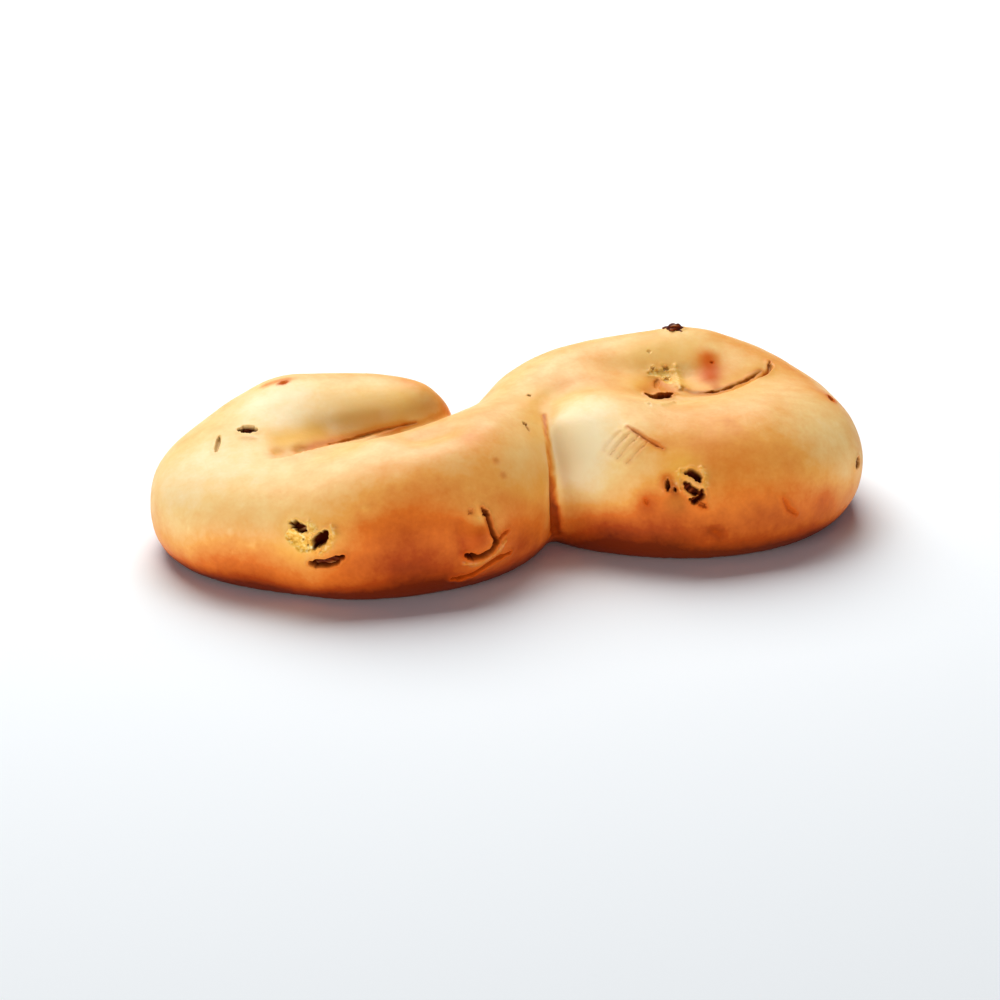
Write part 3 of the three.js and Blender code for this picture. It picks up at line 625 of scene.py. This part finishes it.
def add_seams(points, normals, lines):
    """How far the seams lift each point: the strand behind dips and the nearer edge stands up."""
    lift = np.zeros(len(points))
    for line, seam in zip(lines, SEAMS):
        near = around_line(points, line, 14)
        d, along, nearest, step = distance_to_line(points[near], line)
        behind = ((points[near] - nearest) * np.cross(step, normals[near])).sum(1) < 0
        side = np.where(behind, d, -d)
        taper = gentle(along / seam.fade_in) * gentle((1 - along) / seam.fade_out)
        wall = gentle(0.5 + side / 0.8)
        dipped = -seam.dip * np.exp(-np.maximum(side, 0) / seam.dip_reach)
        raised = seam.lip * np.exp(-(np.minimum(side, 0) / seam.lip_reach) ** 2)
        lift[near] += taper * (wall * dipped + (1 - wall) * raised)
    return lift


def add_stains_and_shading(points, lines):
    """How far the soft spots lift each point, and how brown, golden and red they make it."""
    lift, bake_and_shading, gold, red = (np.zeros(len(points)) for _ in range(4))
    for line, stain_and_shading in zip(lines, STAINS_AND_SHADING):
        near = around_line(points, line, 2.5 * stain_and_shading.radius)
        bulk = np.exp(-(distance_to_line(points[near], line)[0] / stain_and_shading.radius) ** 2)
        lift[near] += stain_and_shading.rise * bulk
        bake_and_shading[near] += stain_and_shading.browner * bulk
        gold[near] = np.maximum(gold[near], stain_and_shading.golden * bulk)
        red[near] = np.maximum(red[near], stain_and_shading.redder * bulk)
    return lift, bake_and_shading, gold, red


def squeeze_inside(points, low, high):
    """Squeezes the outer few millimetres of each side, so that nothing passes the given box."""
    depth = 4.0
    for axis in (0, 1):
        for sign, limit in ((1, high[axis]), (-1, -low[axis])):
            inner = limit - depth
            beyond = sign * points[:, axis] - inner
            reach = beyond.max()
            if reach > depth:
                outer = beyond > 0
                points[outer, axis] = sign * (inner + beyond[outer] * depth / reach)
    points[:, 2] = np.clip(points[:, 2], 0, high[2])


def make_dough(raisins, shift):
    """The dough's mesh: the bare crust, refined round its marks, then lifted and coloured by them."""
    centres = [raisin["crust"] for raisin in raisins]
    marks = all_marks(raisins, centres)
    seams = [smooth_rows(line, 60) for line in seen_on_crust([seam.path for seam in SEAMS], centres)]
    spots = [line if len(line) > 1 else np.repeat(line, 2, 0)
             for line in seen_on_crust([stain_and_shading.path for stain_and_shading in STAINS_AND_SHADING], centres)]
    vertices, squares = bare_crust(centres)
    bm = bmesh.new()
    made = [bm.verts.new(v) for v in vertices]
    for square in squares:
        bm.faces.new([made[i] for i in square])
    lines = [smooth_rows(mark.path, 3 + 3 * len(mark.path)) for mark in marks]
    deep = [line for line, mark in zip(lines, marks) if abs(mark.depth) > DEEP]
    refine(bm, np.vstack(lines + seams), NEAR_A_MARK)
    for reach in NEAR_DEEP_MARKS:
        refine(bm, np.vstack(deep), reach)
    mesh = bpy.data.meshes.new("dough_crust")
    bm.to_mesh(mesh)
    bm.free()

    points = np.empty(len(mesh.vertices) * 3)
    mesh.vertices.foreach_get("co", points)
    points = points.reshape(-1, 3)
    on_tray = points[:, 2] < ON_TRAY
    crust, normals = to_crust(points, centres, 2)
    free = ~on_tray & (np.linalg.norm(crust - points, axis=1) < 1.5)
    points[free] = crust[free]
    points[on_tray | (points[:, 2] < 0), 2] = 0

    lift, dark, crumb, red = add_marks(points, marks)
    soft_lift, browner, golden, redder = add_stains_and_shading(points, spots)
    lift += soft_lift + add_seams(points, normals, seams)
    for size, rise, seed in UNEVENNESS:
        lift += rise * smooth_noise(points, size, seed)
    height = points[:, 2]
    # browning together with painted shade and painted light, from the spots and the bands towards the
    # tray
    bake_and_shading = TOP_BROWNING + browner
    for below, over, more in BROWNER_BANDS:
        bake_and_shading += more * gentle((below - height) / over)
    red = np.maximum(red, redder)
    lift *= gentle(height / FOOT)
    points += normals * (lift * ~on_tray)[:, None]
    squeeze_inside(points, np.array(cad_low) / MM - shift, np.array(cad_high) / MM - shift)
    mesh.vertices.foreach_set("co", ((points + shift) * MM).reshape(-1))
    for name, values in (("bake_and_shading", bake_and_shading), ("dark", dark), ("crumb", crumb), ("gold", golden),
                         ("red", red)):
        mesh.attributes.new(name, "FLOAT", "POINT").data.foreach_set("value", values)
    mesh.polygons.foreach_set("use_smooth", np.ones(len(mesh.polygons), bool))
    mesh.update()
    piece = bpy.data.objects.new("bun_dough", mesh)
    bpy.context.collection.objects.link(piece)
    return piece


# ---- materials ----
def linear(hex_colour):
    """sRGB hex to the linear colour that shaders use."""
    values = [int(hex_colour[i:i + 2], 16) / 255 for i in (1, 3, 5)]
    return [*(v / 12.92 if v <= 0.04045 else ((v + 0.055) / 1.055) ** 2.4 for v in values), 1.0]


def node(tree, kind, settings=None, links=None):
    """Adds a node, sets its properties or input values, and links its inputs."""
    made = tree.nodes.new(kind)
    for key, value in (settings or {}).items():
        if isinstance(key, str) and hasattr(made, key):
            setattr(made, key, value)
        else:
            made.inputs[key].default_value = value
    for key, source in (links or {}).items():
        tree.links.new(source, made.inputs[key])
    return made


def new_material(name):
    """A material and its empty tree."""
    material = bpy.data.materials.new(name)
    material.use_nodes = True
    tree = material.node_tree
    tree.nodes.clear()
    return material, tree


def ramp(tree, factor, stops):
    """Colour for a factor, from stops of place and hex colour."""
    made = node(tree, "ShaderNodeValToRGB", {}, {0: factor})
    elements = made.color_ramp.elements
    elements[0].position, elements[0].color = stops[0][0], linear(stops[0][1])
    elements[1].position, elements[1].color = stops[-1][0], linear(stops[-1][1])
    for place, colour in stops[1:-1]:
        elements.new(place).color = linear(colour)
    return made.outputs["Color"]


def mix(tree, factor, a, b):
    """a where the factor is 0, the hex colour b where it is 1."""
    return node(tree, "ShaderNodeMix", {"data_type": "RGBA", 7: linear(b)}, {0: factor, 6: a}).outputs[2]


def attribute(tree, name):
    """One of the values that the mesh carries."""
    return node(tree, "ShaderNodeAttribute", {"attribute_name": name}).outputs["Fac"]


def noise(tree, place, size_mm, detail=2.0):
    """Noise with lumps of about this size."""
    return node(tree, "ShaderNodeTexNoise", {"Scale": 1 / (size_mm * MM), "Detail": detail},
                {"Vector": place}).outputs["Fac"]


def add(tree, a, b, share, centre=0.5):
    """a + share * (b - centre)"""
    scaled = node(tree, "ShaderNodeMath", {"operation": "MULTIPLY_ADD", 1: share, 2: -share * centre},
                  {0: b}).outputs[0]
    return node(tree, "ShaderNodeMath", {"operation": "ADD"}, {0: a, 1: scaled}).outputs[0]


def egg_washed_crust():
    """Baked egg wash over sweet dough: cream to deep orange brown, satin, with a soft sheen."""
    material, tree = new_material("egg_washed_crust")
    place = node(tree, "ShaderNodeTexCoord").outputs["Object"]
    mottle = noise(tree, place, 11, 3.0)
    grain = noise(tree, place, 0.8)
    # the colour follows browning together with painted shade and painted light
    shade = add(tree, attribute(tree, "bake_and_shading"), mottle, 0.3)
    shade = add(tree, shade, noise(tree, place, 3), 0.16)
    shade = add(tree, shade, grain, 0.08)
    colour = ramp(tree, shade, [(0.0, "#f9e2b2"), (0.2, "#f5cb84"), (0.4, "#eca24c"), (0.6, "#d86e22"),
                                (0.8, "#a8410b"), (1.0, "#6b2003")])
    gold, red, dark = (attribute(tree, name) for name in ("gold", "red", "dark"))
    # golden: the crust's own tone, and painted light in shaded valleys
    colour = mix(tree, gold, colour, "#eeb344")
    torn = ramp(tree, grain, [(0.3, "#d9962f"), (0.5, "#f0bf55"), (0.7, "#fbe6a4")])
    colour = node(tree, "ShaderNodeMix", {"data_type": "RGBA"},
                  {0: attribute(tree, "crumb"), 6: colour, 7: torn}).outputs[2]
    colour = mix(tree, red, colour, "#c84e0c")
    # dark red brown: painted shade in splits, holes and seam lines, and a few real dark spots
    colour = mix(tree, dark, colour, "#561603")
    bump = node(tree, "ShaderNodeBump", {"Strength": 0.2, "Distance": 0.0002}, {"Height": grain})
    bump = node(tree, "ShaderNodeBump", {"Strength": 0.25, "Distance": 0.0006},
                {"Height": noise(tree, place, 5, 1.0), "Normal": bump.outputs[0]})
    rough = node(tree, "ShaderNodeMapRange", {"To Min": 0.38, "To Max": 0.55}, {"Value": mottle})
    # the wash is missing where the crust has split, stretched or burst
    worn = node(tree, "ShaderNodeMath", {"operation": "ADD"}, {0: dark, 1: red}).outputs[0]
    worn = node(tree, "ShaderNodeMath", {"operation": "MULTIPLY_ADD", "use_clamp": True, 1: 0.6},
                {0: gold, 2: worn}).outputs[0]
    gloss = node(tree, "ShaderNodeMapRange", {"To Min": 0.22, "To Max": 0.0}, {"Value": worn})
    coat = node(tree, "ShaderNodeMapRange", {"To Min": 0.05, "To Max": 0.0}, {"Value": worn})
    shader = node(tree, "ShaderNodeBsdfPrincipled",
                  {"IOR": 1.4, "Subsurface Weight": 0.12, "Subsurface Radius": (1.0, 0.45, 0.15),
                   "Subsurface Scale": 0.0012, "Coat Roughness": 0.3},
                  {"Base Color": colour, "Roughness": rough.outputs[0], "Normal": bump.outputs[0],
                   "Specular IOR Level": gloss.outputs[0], "Coat Weight": coat.outputs[0]})
    node(tree, "ShaderNodeOutputMaterial", {}, {"Surface": shader.outputs[0]})
    return material


def dried_grape_skin():
    """Raisin skin: dark red brown in the folds, lighter on the ridges, with little gloss; the contrast is
    partly the skin's own tone, partly painted shade in the folds and painted highlight on the ridges.
    """
    material, tree = new_material("dried_grape_skin")
    place = node(tree, "ShaderNodeTexCoord").outputs["Object"]
    # lighter on the ridges and darker in the folds: partly painted highlight and painted shade
    shade = add(tree, attribute(tree, "ridge"), noise(tree, place, 3), 0.25)
    colour = ramp(tree, shade, [(0.0, "#451002"), (0.55, "#702808"), (0.8, "#965020"), (1.0, "#b98454")])
    bump = node(tree, "ShaderNodeBump", {"Strength": 0.25, "Distance": 0.0002},
                {"Height": noise(tree, place, 0.7)})
    shader = node(tree, "ShaderNodeBsdfPrincipled",
                  {"IOR": 1.47, "Roughness": 0.5, "Specular IOR Level": 0.14, "Coat Weight": 0.03,
                   "Coat Roughness": 0.25},
                  {"Base Color": colour, "Normal": bump.outputs[0]})
    node(tree, "ShaderNodeOutputMaterial", {}, {"Surface": shader.outputs[0]})
    return material


def matt_white_paper():
    """The studio's floor: plain white without gloss."""
    material, tree = new_material("matt_white_paper")
    shader = node(tree, "ShaderNodeBsdfPrincipled", {"Base Color": linear("#f3f6f7"), "Roughness": 0.95,
                                                     "Specular IOR Level": 0.0})
    node(tree, "ShaderNodeOutputMaterial", {}, {"Surface": shader.outputs[0]})
    return material


# ---- raisins ----
def raisin_tree(material):
    """Geometry Nodes: an ellipsoid whose skin has dried into folds, from its sizes and a seed."""
    tree = bpy.data.node_groups.new("raisin", "GeometryNodeTree")
    face = tree.interface
    face.new_socket("Geometry", in_out="INPUT", socket_type="NodeSocketGeometry")
    for name, value in (("Length", 0.0095), ("Width", 0.007), ("Thickness", 0.006),
                        ("Fold depth", 0.2), ("Folds", 1.9), ("Seed", 0.0)):
        face.new_socket(name, in_out="INPUT", socket_type="NodeSocketFloat").default_value = value
    face.new_socket("Geometry", in_out="OUTPUT", socket_type="NodeSocketGeometry")
    given = node(tree, "NodeGroupInput").outputs
    ball = node(tree, "GeometryNodeMeshIcoSphere", {"Radius": 1.0, "Subdivisions": 6})
    place = node(tree, "GeometryNodeInputPosition").outputs[0]
    # folds run along the raisin, so the noise is stretched that way
    stretched = node(tree, "ShaderNodeVectorMath", {"operation": "MULTIPLY", 1: (0.45, 1.0, 1.0)},
                     {0: place})
    folds = node(tree, "ShaderNodeTexNoise", {"noise_dimensions": "4D", "Detail": 1.5,
                                              "Roughness": 0.4, "Distortion": 0.5},
                 {"Vector": stretched.outputs[0], "W": given["Seed"], "Scale": given["Folds"]})
    centred = node(tree, "ShaderNodeMath", {"operation": "SUBTRACT", 1: 0.5}, {0: folds.outputs["Fac"]})
    size = node(tree, "ShaderNodeMath", {"operation": "ABSOLUTE"}, {0: centred.outputs[0]})
    ridge = node(tree, "ShaderNodeMapRange", {"From Min": 0.0, "From Max": 0.22,
                                              "interpolation_type": "SMOOTHSTEP"},
                 {"Value": size.outputs[0]})
    dent = node(tree, "ShaderNodeMath", {"operation": "SUBTRACT", 0: 1.0}, {1: ridge.outputs[0]})
    dent = node(tree, "ShaderNodeMath", {"operation": "MULTIPLY"},
                {0: dent.outputs[0], 1: given["Fold depth"]})
    reach = node(tree, "ShaderNodeMath", {"operation": "SUBTRACT", 0: 1.0}, {1: dent.outputs[0]})
    radii = node(tree, "ShaderNodeCombineXYZ", {},
                 {0: given["Length"], 1: given["Width"], 2: given["Thickness"]})
    radii = node(tree, "ShaderNodeVectorMath", {"operation": "SCALE", "Scale": 0.5},
                 {0: radii.outputs[0]})
    folded = node(tree, "ShaderNodeVectorMath", {"operation": "SCALE"},
                  {0: place, "Scale": reach.outputs[0]})
    sized = node(tree, "ShaderNodeVectorMath", {"operation": "MULTIPLY"},
                 {0: folded.outputs[0], 1: radii.outputs[0]})
    stored = node(tree, "GeometryNodeStoreNamedAttribute",
                  {"data_type": "FLOAT", "domain": "POINT", "Name": "ridge"},
                  {"Geometry": ball.outputs["Mesh"], "Value": ridge.outputs[0]})
    moved = node(tree, "GeometryNodeSetPosition", {},
                 {"Geometry": stored.outputs[0], "Position": sized.outputs[0]})
    smooth = node(tree, "GeometryNodeSetShadeSmooth", {}, {0: moved.outputs[0]})
    real = node(tree, "GeometryNodeRealizeInstances", {}, {0: smooth.outputs[0]})
    covered = node(tree, "GeometryNodeSetMaterial", {"Material": material}, {"Geometry": real.outputs[0]})
    node(tree, "NodeGroupOutput", {}, {0: covered.outputs[0]})
    return tree


def grown(tree, name, inputs):
    """Runs a tree with these inputs and returns the result as an object with a plain mesh."""
    carrier = bpy.data.objects.new(name + "_carrier", bpy.data.meshes.new(name + "_carrier"))
    bpy.context.collection.objects.link(carrier)
    modifier = carrier.modifiers.new("grow", "NODES")
    modifier.node_group = tree
    for item in tree.interface.items_tree:
        if item.in_out == "INPUT" and item.name in inputs:
            modifier[item.identifier] = inputs[item.name]
    evaluated = carrier.evaluated_get(bpy.context.evaluated_depsgraph_get())
    mesh = bpy.data.meshes.new_from_object(evaluated)
    mesh.name = name
    bpy.data.objects.remove(carrier)
    made = bpy.data.objects.new(name, mesh)
    bpy.context.collection.objects.link(made)
    return made


def make_raisins(raisins, material, shift):
    """One folded raisin for each seat, laid along the crust."""
    tree = raisin_tree(material)
    made = []
    for number, raisin in enumerate(raisins):
        long, wide, thick = (size * MM for size in raisin["size"])
        piece = grown(tree, "bun_" + raisin["name"],
                      {"Length": long, "Width": wide, "Thickness": thick, "Seed": 3.7 * number})
        points = np.empty(len(piece.data.vertices) * 3)
        piece.data.vertices.foreach_get("co", points)
        axes = np.stack([raisin["level"], raisin["across"], raisin["normal"]])
        middle = raisin["at"] - raisin["sink"] * raisin["normal"]
        points = points.reshape(-1, 3) @ axes + (middle + shift) * MM
        piece.data.vertices.foreach_set("co", points.reshape(-1))
        piece.data.update()
        made.append(piece)
    return made


# ---- studio ----
def make_camera(shift):
    """The camera at the photograph's own angle and distance."""
    camera = bpy.data.objects.new("camera", bpy.data.cameras.new("camera"))
    bpy.context.collection.objects.link(camera)
    camera.location = (CAMERA_AT + shift) * MM
    camera.rotation_euler = Vector(CAMERA_LOOKS_AT - CAMERA_AT).to_track_quat("-Z", "Y").to_euler()
    camera.data.sensor_width = SENSOR
    camera.data.lens = SENSOR * FOCAL_PIXELS / PIXELS
    camera.data.clip_start, camera.data.clip_end = 0.01, 20
    bpy.context.scene.camera = camera


def area_light(name, place, size, power, in_gloss=True):
    """An area light of size (wide, high) in metres and power in watts that looks at the origin."""
    light = bpy.data.objects.new(name, bpy.data.lights.new(name, "AREA"))
    bpy.context.collection.objects.link(light)
    light.location = place
    light.rotation_euler = (-Vector(place)).to_track_quat("-Z", "Y").to_euler()
    light.data.shape, light.data.energy = "RECTANGLE", power
    light.data.size, light.data.size_y = size
    light.visible_glossy = in_gloss


def make_studio():
    """Soft light from above and behind, a window on the left, a low card in front, a pale floor."""
    world = bpy.data.worlds.new("studio")
    bpy.context.scene.world = world
    world.use_nodes = True
    world.node_tree.nodes["Background"].inputs["Color"].default_value = linear("#dce8ff")
    world.node_tree.nodes["Background"].inputs["Strength"].default_value = 0.1
    area_light("softbox_behind", (0.02, 0.6, 0.71), (0.8, 0.8), 14.3)
    area_light("window_left", (-0.95, -0.35, 0.1), (0.45, 0.18), 4.2)
    area_light("card_in_front", (0.15, -1.03, 0.055), (0.9, 0.1), 5.9, in_gloss=False)
    mesh = bpy.data.meshes.new("floor")
    side = 3.0                                 # metres, half the floor
    mesh.from_pydata([(-side, -side, 0), (side, -side, 0), (side, side, 0), (-side, side, 0)], [],
                     [(0, 1, 2, 3)])
    floor = bpy.data.objects.new("floor", mesh)
    bpy.context.collection.objects.link(floor)
    floor.location.z = -0.0002                 # just under the bun's flat face
    mesh.materials.append(matt_white_paper())
    bpy.context.scene.view_settings.view_transform = "Standard"


# ---- the bun ----
raisins = [seat(row) for row in RAISINS]
solids = [sum(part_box(raisin["name"]), Vector()) / 2 / MM for raisin in raisins]
shift = np.mean([np.array(solid) - raisin["at"] for solid, raisin in zip(solids, raisins)], 0)
shift[2] = 0
dough = make_dough(raisins, shift)
dough.data.materials.append(egg_washed_crust())
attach(dough, "root")
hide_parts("dough")
for piece, raisin in zip(make_raisins(raisins, dried_grape_skin(), shift), raisins):
    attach(piece, "root")
    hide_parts(raisin["name"])
make_camera(shift)
make_studio()
